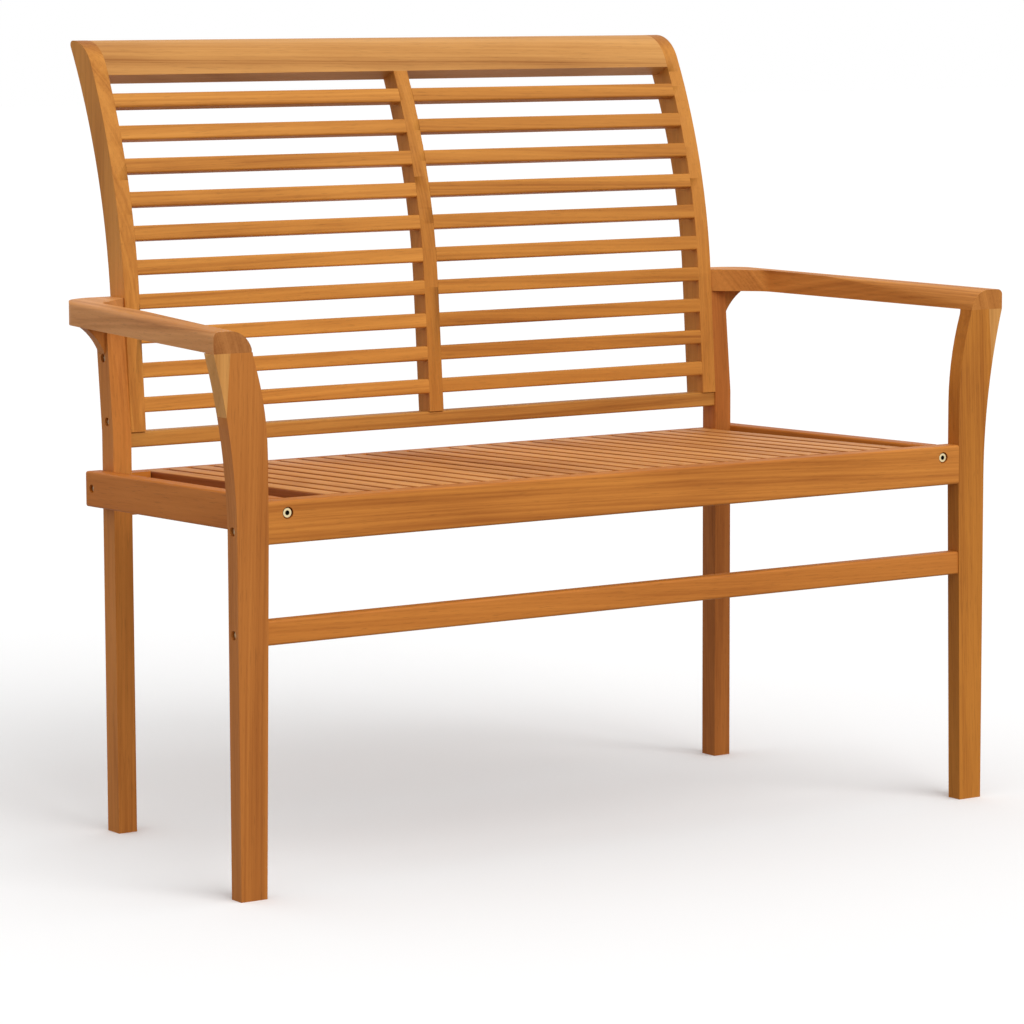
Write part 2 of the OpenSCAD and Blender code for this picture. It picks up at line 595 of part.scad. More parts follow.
// Front rail between the front legs, tenoned into them
module front_rail() color(teak) placed() difference() {
    union() {
        intersection() {
            bar_x(-leg_in_foot, leg_in_foot, 0, seat_z - front_rail_h,
                front_rail_t, front_rail_h, rail_edge_r);
            plate_xz(-over, front_rail_t + over, [[-leg_in(seat_z - front_rail_h), seat_z - front_rail_h],
                [leg_in(seat_z - front_rail_h), seat_z - front_rail_h],
                [leg_in(seat_z), seat_z], [-leg_in(seat_z), seat_z]]);
        }
        both_sides() tenon_x(leg_in(rail_screw_z), front_rail_t/2, seat_z - front_rail_h/2, rail_tenon, 0);
    }
    both_sides() {
        bolt_hole(bolt_head_gap);
        at_front_leg_screws() screw_hole_x(0, 0, 0);
    }
    for (x = cleat_screws) cleat_screw_hole(x);
}

module front_stretcher() color(teak_dark) placed() difference() {
    union() {
        intersection() {
            bar_x(-leg_in_foot, leg_in_foot, (front_leg_d - stretcher_t)/2, stretcher_z,
                stretcher_t, stretcher_h, rail_edge_r);
            plate_xz(-over, front_leg_d + over, [[-leg_in(stretcher_z), stretcher_z],
                [leg_in(stretcher_z), stretcher_z],
                [leg_in(stretcher_z + stretcher_h), stretcher_z + stretcher_h],
                [-leg_in(stretcher_z + stretcher_h), stretcher_z + stretcher_h]]);
        }
        both_sides() tenon_x(leg_in(stretcher_screw_z), front_leg_d/2, stretcher_screw_z, stretcher_tenon, 0);
    }
    both_sides() at_front_leg_screws() screw_hole_x(0, 0, 0);
}

// Cleat behind the front rail, which carries the front ends of the slats
module front_cleat() color(teak_dark) placed() difference() {
    intersection() {
        block([-rear_leg_out, front_rail_t, cleat_z], [rear_leg_out, front_rail_t + cleat_w, seat_z]);
        below_seat(seat_slat_t);
    }
    for (i = [1:seat_slat_count]) slat_screws_at(i);
    for (x = cleat_screws) cleat_screw_hole(x);
}

// Bearer between the side rails, under the middle of the slats
module seat_bearer() color(teak_dark) placed() difference() {
    intersection() {
        block([-rear_leg_out, bearer_y - bearer_t/2, seat_top(bearer_y) - seat_slat_t - bearer_h],
            [rear_leg_out, bearer_y + bearer_t/2, seat_z]);
        below_seat(seat_slat_t);
    }
    dowel_holes();
}

// Rear rail between the rear legs, with a long notch in which the slats end in front of a lip
module rear_rail() color(teak_dark) placed() difference() {
    intersection() {
        block([-stile_out, seat_end - rear_rail_t, rear_rail_z], [stile_out, seat_end, seat_z]);
        below_seat(0);
    }
    intersection() {
        seat_tilt(seat_slope) block([slats_left - notch_gap, 0, seat_z - seat_slat_t],
            [slats_left + seat_slats_w + notch_gap, big, seat_z + over]);
        block([-big, 0, 0], [big, slat_end, big]);
    }
    for (i = [1:seat_slat_count]) slat_screws_at(i);
    dowel_holes();
}

module seat_slat(i) color(i%3 == 0 ? teak_light : teak_seat) placed() difference() {
    intersection() {
        seat_tilt(seat_slope)
            bar_y(slat_x(i), 0, seat_end + over, seat_z - seat_slat_t,
                seat_slat_w, seat_slat_t, slat_edge_r);
        block([-big, front_rail_t, 0], [big, slat_end, big]);
    }
    slat_screws_at(i);
}

// Outer stile of the back, which stands on the bottom rail against the rear leg
module back_stile() color(teak) placed() difference() {
    plate_yz(stile_in, stile_out, rolled_strip(0));
    back_slat_tenons(fit_gap);
    crest_tenon(fit_gap);
    at_stile_screws() screw_hole_x(0, 0, 0);
    dowel_holes();
}
module back_stile_right() back_stile();
module back_stile_left() left() back_stile();

module back_centre_stile() color(teak) placed() difference() {
    plate_yz(-centre_in, centre_in, back_strip(0, s_crest, crest_t));
    both_sides() back_slat_tenons(fit_gap);
    dowel_holes();
}

module crest_rail() color(teak_light) placed() difference() {
    union() {
        intersection() {
            plate_yz(-stile_in, stile_in, rolled_strip(s_crest));
            plate_yz(-stile_in, stile_in, back_strip(s_crest, s_top + crest_h, crest_t));
        }
        both_sides() crest_tenon(0);
    }
    dowel_holes();
}

module back_bottom_rail() color(teak) placed() difference() {
    bar_x(-stile_out, stile_out, seat_d + bottom_rail_set, bottom_rail_z,
        bottom_rail_t, bottom_rail_h, slat_edge_r);
    dowel_holes();
}

// One half of the back: slats between the centre stile and an outer stile, each with two tenons
module back_slats() color(teak) placed() {
    for (i = [0:back_slat_count - 1]) on_back(back_slat_s(i))
        bar_x(centre_in, stile_in, 0, -back_slat_h/2, back_slat_t, back_slat_h, slat_edge_r);
    back_slat_tenons(0);
}
module back_slats_right() back_slats();
module back_slats_left() left() back_slats();

// Arm: its outline from above, cut by the plane of its underside and by its rounded top
arm_outer_rear = arm_out - arm_len*tan(arm_out_taper);
arm_meet = [stile_out, rear_leg_y(arm_z) - rear_leg_d/2 + arm_meet_back];
arm_hold_end = [stile_out, arm_meet.y + arm_hold];
arm_bend = [arm_in - (arm_meet.y - arm_bend_back)*tan(arm_in_taper), arm_meet.y - arm_bend_back];
module arm_outline() linear_extrude(big) polygon(concat([[arm_in, 0], [arm_out, 0]],
    rounded([arm_out, 0], [arm_outer_rear, arm_len], arm_hold_end, arm_corner_r),
    [arm_hold_end, arm_meet], rounded(arm_meet, arm_bend, [arm_in, 0], arm_bend_r)));
// Points of a quarter circle of radius r, from its top at (x, z) down to its left
function quarter(x, z, r) = [for (i = [0:arc_steps]) let (a = 90 + 90*i/arc_steps)
    [x + r*cos(a), z - r + r*sin(a)]];
// All that lies under the top of an arm, with the outer top edge rounded
module below_top() translate([arm_out - arm_edge_r, 0, arm_z + arm_t]) rotate([arm_top_rise, 0, arm_out_taper])
    translate([0, big, 0]) rotate([90, 0, 0]) linear_extrude(2*big)
        mirror([1, 0]) polygon(concat(quarter(0, 0, arm_edge_r),
            [[-arm_edge_r, -big], [big, -big], [big, 0]]));
// Body with the roll of the inner top edge. The roll is widest at the front end and shrinks to nothing
// at roll_end, just inside the arm's inner edge; behind that the edge is crisp.
roll_end = [arm_in - (arm_bend.y - arm_flat_l)*tan(arm_in_taper) - roll_clear, arm_bend.y - arm_flat_l];
crown_x = arm_out - arm_crown;
function crown_at(y) = crown_x + (roll_end.x - crown_x)*y/roll_end.y;
function roll_top(y) = arm_z + arm_t + roll_clear/10 + y*tan(arm_top_rise);
module arm_roll() {
    r = arm_roll_r*(1 + over/roll_end.y);
    hull() {
        plate_xz(-2*over, -over, concat(quarter(crown_at(-over), roll_top(-over), r),
            [[crown_at(-over) - r, arm_z - 2*over], [arm_out + 2*over, arm_z - 2*over],
            [arm_out + 2*over, roll_top(-over)]]));
        plate_xz(roll_end.y, roll_end.y + over, [[roll_end.x, roll_top(roll_end.y)],
            [roll_end.x, arm_z - 2*over], [arm_out + 2*over, arm_z - 2*over],
            [arm_out + 2*over, roll_top(roll_end.y)]]);
    }
    block([0, roll_end.y, arm_z - 2*over], [big, big, big]);
}
module armrest() color(teak_light) placed() difference() {
    intersection() {
        arm_outline();
        above_arm();
        below_top();
        arm_roll();
    }
    dowel_holes();
}
module armrest_right() armrest();
module armrest_left() left() armrest();

// Bracket with a hollow edge, between the rear leg's outer face and the arm
module arm_bracket() color(teak_dark) placed() difference() {
    intersection() {
        plate_xz(bracket_y - bracket_t/2, bracket_y + bracket_t/2, concat([[rear_leg_out, arm_z + over]],
            [[rear_leg_out + bracket_out, arm_z + over]],
            hollow([rear_leg_out + bracket_out, arm_z], [rear_leg_out + bracket_edge, arm_z - bracket_h],
                bracket_r),
            [[rear_leg_out, arm_z - bracket_h]]));
        below_arm();
    }
    dowel_holes();
}
module arm_bracket_right() arm_bracket();
module arm_bracket_left() left() arm_bracket();

module apron_bolts() color(brass) placed() both_sides() difference() {
    union() {
        rod_y(bolt_x, bolt_sink, bolt_sink + bolt_head_t, bolt_z, bolt_head_d);
        rod_y(bolt_x, bolt_sink + bolt_head_t/2, barrel_y + barrel_d/2, bolt_z, bolt_d);
    }
    translate([bolt_x, bolt_sink + bolt_socket_depth, bolt_z]) rotate([90, 0, 0])
        cylinder(h = bolt_socket_depth + over, d = bolt_socket/cos(30), $fn = 6);
}
module barrel_nuts() color(steel) placed() both_sides() difference() {
    barrel_nut(0);
    rod_y(bolt_x, 0, big, bolt_z, bolt_d);
}
module frame_screws() color(steel) placed() {
    both_sides() {
        at_front_leg_screws() screw_x(0, 0, 0);
        at_stile_screws() screw_x(0, 0, 0);
        at_side_screw() screw_x(0, 0, 0);
    }
    for (x = cleat_screws) cleat_screw(x);
}
module slat_screws() color(steel) placed() for (i = [1:seat_slat_count], y = [cleat_y, rear_screw_y])
    slat_screw(slat_x(i) + seat_slat_w/2, y);
module dowels() color(teak_light) placed() {
    both_sides() dowels_right(0, 0);
    dowel_centre(0, 0);
}

front_leg_left();
front_leg_right();
leg_flare_left();
leg_flare_right();
rear_leg_left();
rear_leg_right();
side_rail_left();
side_rail_right();
front_rail();
rear_rail();
front_stretcher();
front_cleat();
seat_bearer();
for (i = [1:seat_slat_count]) seat_slat(i);
back_stile_left();
back_stile_right();
back_centre_stile();
crest_rail();
back_bottom_rail();
back_slats_left();
back_slats_right();
armrest_left();
armrest_right();
arm_bracket_left();
arm_bracket_right();
apron_bolts();
barrel_nuts();
frame_screws();
slat_screws();
dowels();
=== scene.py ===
# %% [markdown]
# # A teak garden bench, piece by piece
#
# The bench is solid oiled teak: two flared front legs, two rear legs, a slatted seat, a curved back
# that rolls over at its top, and flat arms with a rounded inner edge. The solids come ready made, in
# their true sizes, so this lesson is about edges, grain, small metal parts, light and the camera.
# All lengths here are in metres, X runs along the bench and Y to its back.

# %% Load the solids
import math
import random

import bmesh
import bpy
from mathutils import Euler, Matrix, Vector
from mathutils.bvhtree import BVHTree


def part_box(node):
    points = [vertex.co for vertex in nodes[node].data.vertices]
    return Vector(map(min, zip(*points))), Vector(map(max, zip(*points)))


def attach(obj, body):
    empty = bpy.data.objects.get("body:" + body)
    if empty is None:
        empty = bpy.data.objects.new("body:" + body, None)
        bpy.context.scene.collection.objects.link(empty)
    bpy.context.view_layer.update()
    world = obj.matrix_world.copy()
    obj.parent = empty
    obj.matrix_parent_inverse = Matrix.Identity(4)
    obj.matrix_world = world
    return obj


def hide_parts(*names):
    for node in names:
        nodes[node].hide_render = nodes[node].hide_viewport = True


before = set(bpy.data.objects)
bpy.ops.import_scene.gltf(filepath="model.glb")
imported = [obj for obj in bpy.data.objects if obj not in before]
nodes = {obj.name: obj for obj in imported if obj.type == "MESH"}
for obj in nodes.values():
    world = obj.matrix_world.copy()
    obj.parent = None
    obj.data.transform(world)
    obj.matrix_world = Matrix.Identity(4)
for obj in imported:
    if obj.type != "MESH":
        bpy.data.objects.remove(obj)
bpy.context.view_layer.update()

# %% [markdown]
# ## The camera
#
# The bench is seen from its front left corner with a long lens, from about the height of its top, as
# furniture is usually shown. A camera could be aimed with a constraint at an empty, which is easy to
# move later. Here its place, its angles and its lens are known numbers, so they are set directly:
# the turn is the angle round the upright axis, the tilt the angle below the horizon and the roll the
# small lean of the picture.

# %% Make the camera
CAMERA_PLACE = Vector((-2.8224, -4.1684, 0.9899))
CAMERA_TURN = math.radians(-34.261)
CAMERA_TILT = math.radians(7.043)
CAMERA_ROLL = math.radians(-0.196)
# Focal length and sensor width, in millimetres
CAMERA_LENS = 146.55
SENSOR_WIDTH = 36
# How far the camera sees, beyond the far edge of the floor
CAMERA_REACH = 100
LEVEL = math.radians(90)

camera = bpy.data.objects.new("camera", bpy.data.cameras.new("camera"))
bpy.context.scene.collection.objects.link(camera)
aim = Euler((LEVEL - CAMERA_TILT, 0, CAMERA_TURN)).to_matrix()
lean = Matrix.Rotation(CAMERA_ROLL, 3, "Z")
camera.matrix_world = Matrix.Translation(CAMERA_PLACE) @ (aim @ lean).to_4x4()
camera.data.lens = CAMERA_LENS
camera.data.sensor_width = SENSOR_WIDTH
camera.data.clip_end = CAMERA_REACH
bpy.context.scene.camera = camera
print("camera", [round(v, 3) for v in camera.location], "lens", camera.data.lens)

# %% [markdown]
# ## Node trees from code
#
# Every material below is a small graph of shader nodes. They could be wired one by one in the editor,
# but fifty pieces of wood need fifty nearly equal graphs. The helper `add` makes one node: its second
# dictionary gives each input either a value or another node's output, which is then linked. `tint`
# turns a colour as a paint chart writes it, from 0 to 255, into the linear numbers that Blender wants.

# %% Helpers for materials
def tint(red, green, blue):
    """A paint chart's colour, from 0 to 255, in linear light."""
    def linear(value):
        part = value/255
        return part/12.92 if part <= 0.04045 else ((part + 0.055)/1.055)**2.4
    return (linear(red), linear(green), linear(blue), 1)


def add(tree, kind, inputs=None, **settings):
    """One new shader node, with its settings, and its inputs set or linked."""
    node = tree.nodes.new("ShaderNode" + kind)
    for name, value in settings.items():
        setattr(node, name, value)
    for name, value in (inputs or {}).items():
        if isinstance(value, bpy.types.NodeSocket):
            tree.links.new(value, node.inputs[name])
        else:
            node.inputs[name].default_value = value
    return node


def new_material(name):
    material = bpy.data.materials.new(name)
    material.use_nodes = True
    material.node_tree.nodes.clear()
    return material, material.node_tree


def finish_material(tree, shader):
    add(tree, "OutputMaterial", {"Surface": shader.outputs[0]})


print("tint of middle grey:", [round(v, 3) for v in tint(128, 128, 128)])

# %% [markdown]
# ## The colours of teak
#
# Oiled teak runs from pale straw to red brown, and no two boards of a bench match. One colour for all
# of it would look like plastic. So each family of pieces has its shade, and the boards that are
# clearly redder, darker or paler than their family have factors of their own.

# %% Shades of teak
# Shade of each family of pieces, as a paint chart would give it
SHADES = {
    "leg": (190, 118, 50),
    "wedge": (204, 142, 74),
    "rail": (203, 127, 52),
    "side": (190, 110, 36),
    "hidden": (168, 98, 42),
    "seat": (210, 142, 74),
    "back": (200, 131, 55),
    "crest": (195, 136, 71),
    "arm": (200, 133, 70),
    "dowel": (204, 150, 90),
}
# Boards that differ from their family: factors on red, green and blue
OWN_SHADE = {
    "front_leg_left": (0.95, 0.92, 0.90),
    "front_leg_right": (1.01, 1.02, 0.88),
    "rear_leg_left": (1.04, 1.04, 1.04),
    "rear_leg_right": (0.96, 0.91, 0.90),
    "front_stretcher": (0.95, 0.92, 0.89),
    "armrest_right": (1.03, 1.01, 0.88),
    "back_slats_right": (0.94, 0.92, 0.88),
    "back_centre_stile": (0.94, 0.92, 0.87),
    "back_bottom_rail": (0.95, 0.98, 1.04),
}
# Factors at the dark and at the light end of a board's tones
DARK_STREAK = (0.80, 0.72, 0.62)
LIGHT_STREAK = (1.10, 1.14, 1.20)
# Factors on cut ends, where the oil stays, and painted shade on the sides of the seat slats, for the
# shade in the gaps between them
END_GRAIN = (0.76, 0.70, 0.66)
PAINTED_GAP_SHADE = (0.52, 0.32, 0.20)


def shade_of(base, factors):
    return tint(*(min(channel*factor, 255) for channel, factor in zip(base, factors)))


print(len(SHADES), "shades of teak,", len(OWN_SHADE), "boards with one of their own")

# %% [markdown]
# ## A board's place in the log
#
# A board shows where it was cut from the log. Growth rings are tubes round the heart, so a board cut
# beside the heart shows straight streaks, and one cut at a slight slant shows long arches. A flat
# stretched noise looks like wood from one side only. Here the rings are real: each piece is placed in
# an imagined log, the distance from the heart gives the ring, and so the ends and the sides agree.
# Each piece gets its own place in the log and its own slant, drawn from a fixed seed. Where a node
# holds many equal slats, the `Random Per Island` output moves each slat to another place in the log.

# %% Lay a piece in its log
# Turns that lay a piece's own direction of grain along X, and the direction itself
GRAIN_TURN = {"x": (0, 0, 0), "y": (0, 0, math.radians(-90)), "z": (0, math.radians(90), 0)}
GRAIN_AXIS = {"x": (1, 0, 0), "y": (0, 1, 0), "z": (0, 0, 1)}
# How far the slats of one node lie apart in the log, along it and across
SLAT_JUMP = (3.1, 0.23, 0.17)
# Limits of a board's slant about the log's Y and Z, in radians
SLANT_Y = 0.035
SLANT_Z = 0.05
# Limits of a board's place along the log, and of its distances from the heart
ALONG_LOG = 5
HEART_ASIDE = (0.04, 0.11)
HEART_ABOVE = (0.05, 0.12)


def place_in_log(tree, draw, direction, lean):
    """Each point of the piece as a point of the log, whose heart lies on the X axis."""
    place = add(tree, "TexCoord").outputs["Object"]
    island = add(tree, "NewGeometry").outputs["Random Per Island"]
    jump = add(tree, "VectorMath", {0: island, 1: SLAT_JUMP}, operation="MULTIPLY")
    moved = add(tree, "VectorMath", {0: place, 1: jump.outputs[0]}, operation="ADD")
    turn = Vector(GRAIN_TURN[direction]) + Vector((0, 0, math.radians(lean)))
    along = add(tree, "Mapping", {"Vector": moved.outputs[0], "Rotation": turn})
    slant = (0, draw.uniform(-SLANT_Y, SLANT_Y), draw.uniform(-SLANT_Z, SLANT_Z))
    heart = (draw.uniform(-ALONG_LOG, ALONG_LOG), draw.uniform(*HEART_ASIDE),
             draw.choice((-1, 1))*draw.uniform(*HEART_ABOVE))
    log = add(tree, "Mapping", {"Vector": along.outputs[0], "Rotation": slant, "Location": heart})
    return log.outputs[0]


print("slants up to", SLANT_Z, "radians,", ALONG_LOG, "m each way along the log")

# %% [markdown]
# ## Rings, fibres and pores
#
# Over the rings of teak lie soft clouds of colour, fine fibres and short dark pores. Each could be
# painted as an image, but an image stretches and repeats. Noise that is much longer along the grain
# than across it does the same from every side, and the rings are noise along one line: the distance
# from the heart, which itself wanders a little.

# %% Patterns of a board
# Cycles of each pattern per metre: along the grain, and across it
FIBRE = (7, 240)
PORES = (45, 900)
CLOUD = (2.5, 9)
WOBBLE = (1.1, 7)
# Cycles per metre from the heart outwards, of broad bands and of thin lines
RING_BAND = 60
RING_LINE = 330
# How much the heart of the log wanders
HEART_DRIFT = 0.03


def stretched_noise(tree, place, cycles, detail):
    along, across = cycles
    spread = add(tree, "VectorMath", {0: place, 1: (along, across, across)}, operation="MULTIPLY")
    noise = add(tree, "TexNoise", {"Vector": spread.outputs[0], "Scale": 1, "Detail": detail})
    return noise.outputs["Fac"]


def ring_noise(tree, ring, cycles, detail):
    return add(tree, "TexNoise", {"W": ring, "Scale": cycles, "Detail": detail},
               noise_dimensions="1D").outputs["Fac"]


def distance_from_heart(tree, log):
    wobble = stretched_noise(tree, log, WOBBLE, 1)
    wander = add(tree, "Math", {0: wobble, 1: HEART_DRIFT}, operation="MULTIPLY")
    across = add(tree, "VectorMath", {0: log, 1: (0, 1, 1)}, operation="MULTIPLY")
    radius = add(tree, "VectorMath", {0: across.outputs[0]}, operation="LENGTH").outputs["Value"]
    return add(tree, "Math", {0: radius, 1: wander.outputs[0]}, operation="ADD").outputs[0]


def weigh(tree, parts):
    """0.5 and the sum of each pattern's distance from its middle, times its weight."""
    total = None
    for pattern, weight in parts:
        start = total if total is not None else 0.5 - sum(w for _, w in parts)/2
        total = add(tree, "Math", {0: pattern, 1: weight, 2: start},
                    operation="MULTIPLY_ADD").outputs[0]
    return total


print("fibres", round(1000/FIBRE[1], 1), "mm apart, ring lines", round(1000/RING_LINE, 1), "mm")

# %% [markdown]
# ## Faces that are darker
#
# The cut end of a board drinks more oil than its side. The sides of the seat slats get painted shade,
# which stands in for the shade in the narrow gaps of the seat. Both could be separate materials on
# those faces. Here the direction of each face decides: the closer it looks along a given axis, the
# more it is darkened, so rounded ends shade off softly.

# %% Darken the faces that look one way
# Cosine of the angle between a face's normal and the axis where darkening starts and is complete
END_FACING = (0.6, 0.9)
# Where the painted shade on the sides of the seat slats starts and is complete
GAP_SHADE_FACING = (0.35, 0.8)


def darken_facing(tree, colour, direction, facing, factors):
    """The colour, times the factors on the faces that look along the direction, either way."""
    normal = add(tree, "TexCoord").outputs["Normal"]
    cosine = add(tree, "VectorMath", {0: normal, 1: direction}, operation="DOT_PRODUCT")
    either = add(tree, "Math", {0: cosine.outputs["Value"]}, operation="ABSOLUTE").outputs[0]
    share = add(tree, "MapRange", {"Value": either, "From Min": facing[0], "From Max": facing[1]})
    return add(tree, "MixRGB", {"Fac": share.outputs[0], "Color1": colour, "Color2": (*factors, 1)},
               blend_type="MULTIPLY").outputs[0]


print("end grain keeps", END_GRAIN, "of its colour")

# %% [markdown]
# ## Teak, put together
#
# The material below is made once for each piece. `figure` says how strong its rings show: a board
# with arches has a high figure, a plain one a low figure. The patterns are weighed into one tone, and
# the tone picks a colour between the dark and the light streak. Oiled wood is only slightly glossy,
# and its light parts are a little smoother than its dark ones.

# %% Make one piece's teak
# Weight of each pattern in the tone, and how far whole boards differ in it
BAND_WEIGHT = 0.9
LINE_WEIGHT = 0.5
FIBRE_WEIGHT = 0.45
CLOUD_WEIGHT = 0.8
TONE_SHIFT = 0.07
# Tones of the darkest and the lightest streak
TONE_ENDS = (0.1, 0.9)
# Noise at which a pore starts and is complete, and the share of light that it keeps
PORE_NOISE = (0.6, 0.72)
PORE_SHADE = 0.84
# Roughness of dark and of light wood, the tones where they are reached, and the specular level
DARK_ROUGH = 0.62
LIGHT_ROUGH = 0.5
ROUGH_TONES = (0.2, 0.8)
OIL_SPECULAR = 0.16
# Weights of fibres, pores and ring lines in the relief, its strength and its height
FIBRE_RELIEF = 0.6
PORE_RELIEF = 0.6
LINE_RELIEF = 0.3
RELIEF_STRENGTH = 0.35
RELIEF_HEIGHT = 0.0004


def colour_wood(tree, tone, base):
    """The colour between the streaks that belongs to a tone."""
    ramp = add(tree, "ValToRGB", {"Fac": tone})
    stops = ramp.color_ramp.elements
    stops[0].position, stops[1].position = TONE_ENDS
    stops[0].color = shade_of(base, DARK_STREAK)
    stops[1].color = shade_of(base, LIGHT_STREAK)
    stops.new(sum(TONE_ENDS)/2).color = tint(*base)
    return ramp.outputs["Color"]


def make_teak(name, family, direction, figure, lean=0):
    draw = random.Random(name)
    material, tree = new_material("teak_" + name)
    log = place_in_log(tree, draw, direction, lean)
    ring = distance_from_heart(tree, log)
    bands = ring_noise(tree, ring, RING_BAND, 1.5)
    lines = ring_noise(tree, ring, RING_LINE, 1)
    fibre = stretched_noise(tree, log, FIBRE, 4)
    cloud = stretched_noise(tree, log, CLOUD, 2)
    pores = stretched_noise(tree, log, PORES, 1)

    tone = weigh(tree, [(bands, BAND_WEIGHT*figure), (lines, LINE_WEIGHT*figure),
                        (fibre, FIBRE_WEIGHT), (cloud, CLOUD_WEIGHT)])
    shift = draw.uniform(-TONE_SHIFT, TONE_SHIFT)
    tone = add(tree, "Math", {0: tone, 1: shift}, operation="ADD").outputs[0]
    own = OWN_SHADE.get(name, (1, 1, 1))
    wood = colour_wood(tree, tone, [channel*factor for channel, factor in zip(SHADES[family], own)])
    pore_mask = add(tree, "MapRange", {"Value": pores, "From Min": PORE_NOISE[0],
                                       "From Max": PORE_NOISE[1], "To Min": 1,
                                       "To Max": PORE_SHADE}).outputs[0]
    pored = add(tree, "VectorMath", {0: wood, 1: pore_mask}, operation="MULTIPLY").outputs[0]
    colour = darken_facing(tree, pored, GRAIN_AXIS[direction], END_FACING, END_GRAIN)
    # Painted shade on the sides of the seat slats, for the shade in the narrow gaps between them
    if family == "seat":
        colour = darken_facing(tree, colour, GRAIN_AXIS["x"], GAP_SHADE_FACING, PAINTED_GAP_SHADE)
    rough = add(tree, "MapRange", {"Value": tone, "From Min": ROUGH_TONES[0],
                                   "From Max": ROUGH_TONES[1], "To Min": DARK_ROUGH,
                                   "To Max": LIGHT_ROUGH}).outputs[0]
    relief = weigh(tree, [(fibre, FIBRE_RELIEF), (pore_mask, PORE_RELIEF), (lines, LINE_RELIEF)])
    bump = add(tree, "Bump", {"Strength": RELIEF_STRENGTH, "Distance": RELIEF_HEIGHT,
                              "Height": relief})
    shader = add(tree, "BsdfPrincipled", {
        "Base Color": colour, "Roughness": rough, "Specular IOR Level": OIL_SPECULAR,
        "Normal": bump.outputs[0]})
    finish_material(tree, shader)
    return material


print("roughness of oiled teak from", LIGHT_ROUGH, "to", DARK_ROUGH)

# %% [markdown]
# ## Which piece is cut how
#
# Grain always runs along a piece, because wood is strong that way. The table gives each family of
# nodes its shade, the direction of its grain and the strength of its figure.

# %% Give each node its family
# Angle in degrees at which the arms run in towards the back, and their grain with them
ARM_TAPER = 5.2
SLAT = "seat_slat_"
SEAT_SLATS = sorted((name for name in nodes if name.startswith(SLAT)),
                    key=lambda name: int(name.removeprefix(SLAT)))
# Shade, direction of grain, strength of the figure, and the lean of the grain where it has one
CUTS = {
    "front_leg_left": ("leg", "z", 0.7), "front_leg_right": ("leg", "z", 0.5),
    "leg_flare_left": ("wedge", "z", 0.5), "leg_flare_right": ("wedge", "z", 0.5),
    "rear_leg_left": ("leg", "z", 0.5), "rear_leg_right": ("leg", "z", 0.5),
    "side_rail_left": ("side", "y", 0.5), "side_rail_right": ("side", "y", 0.5),
    "front_rail": ("rail", "x", 0.7), "rear_rail": ("side", "x", 0.5),
    "front_stretcher": ("rail", "x", 0.6), "front_cleat": ("hidden", "x", 0.4),
    "seat_bearer": ("hidden", "x", 0.4),
    "back_stile_left": ("back", "z", 0.6), "back_stile_right": ("back", "z", 0.5),
    "back_centre_stile": ("back", "z", 0.6), "crest_rail": ("crest", "x", 1.1),
    "back_bottom_rail": ("back", "x", 0.7),
    "back_slats_left": ("back", "x", 0.9), "back_slats_right": ("back", "x", 0.9),
    "armrest_left": ("arm", "y", 0.8, ARM_TAPER), "armrest_right": ("arm", "y", 0.8, -ARM_TAPER),
    "arm_bracket_left": ("leg", "z", 0.4), "arm_bracket_right": ("leg", "z", 0.4),
    "dowels": ("dowel", "z", 0.3),
}
CUTS.update({name: ("seat", "y", 0.6) for name in SEAT_SLATS})
teak = {name: make_teak(name, *cut) for name, cut in CUTS.items()}
print(len(teak), "pieces of teak,", len(SEAT_SLATS), "of them slats of the seat")

# %% [markdown]
# ## Eased edges
#
# A joiner takes the sharp corners off every piece with sandpaper before it is glued up, which leaves
# a rounding of one or two millimetres that catches the light. The solids are sharp there. A bevel
# could be painted with a shader node, but then the outline stays sharp. So each piece is copied,
# its flat faces are made whole, and a Bevel modifier rounds the edges that stand free. Edges that
# lie on a neighbour are joints: they stay closed and sharp.

# %% Find the free edges of a piece
# An edge nearer than this to another piece is part of a joint
JOINT_GAP = 0.0006


def surface_of(mesh):
    mesh.calc_loop_triangles()
    return BVHTree.FromPolygons([v.co for v in mesh.vertices],
                                [t.vertices for t in mesh.loop_triangles])


surfaces = {name: surface_of(node.data) for name, node in nodes.items()}
boxes = {name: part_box(name) for name in nodes}


def neighbours(name):
    """The surfaces of the pieces whose boxes touch this piece's box."""
    low, high = boxes[name]
    return [surfaces[other] for other, (a, b) in boxes.items() if other != name and all(
        a[k] - JOINT_GAP < high[k] and b[k] + JOINT_GAP > low[k] for k in range(3))]


def in_a_joint(point, around):
    return any(tree.find_nearest(point, JOINT_GAP)[0] is not None for tree in around)


print("seat slat 14 has", len(neighbours("seat_slat_14")), "neighbours")

# %% Copy a piece with its edges eased
# Faces that meet at more than SHARP make an edge, and at less than FLAT they are one face
SHARP = math.radians(35)
FLAT = math.radians(0.2)
SAME_POINT = 1e-6
BEVEL_STEPS = 3


def eased_mesh(name):
    """The node's shape with smooth faces, and its free edges marked for the bevel."""
    around = neighbours(name)
    shape = bmesh.new()
    shape.from_mesh(nodes[name].data)
    bmesh.ops.remove_doubles(shape, verts=shape.verts, dist=SAME_POINT)
    bmesh.ops.dissolve_limit(shape, angle_limit=FLAT, verts=shape.verts, edges=shape.edges)
    bevel_weight = shape.edges.layers.float.new("bevel_weight_edge")
    for edge in shape.edges:
        corner = len(edge.link_faces) == 2 and edge.calc_face_angle() > SHARP
        edge.smooth = not corner
        middle = (edge.verts[0].co + edge.verts[1].co)/2
        if corner and not in_a_joint(middle, around):
            edge[bevel_weight] = 1
    for face in shape.faces:
        face.smooth = True
    mesh = bpy.data.meshes.new("eased_" + name)
    shape.to_mesh(mesh)
    shape.free()
    return mesh


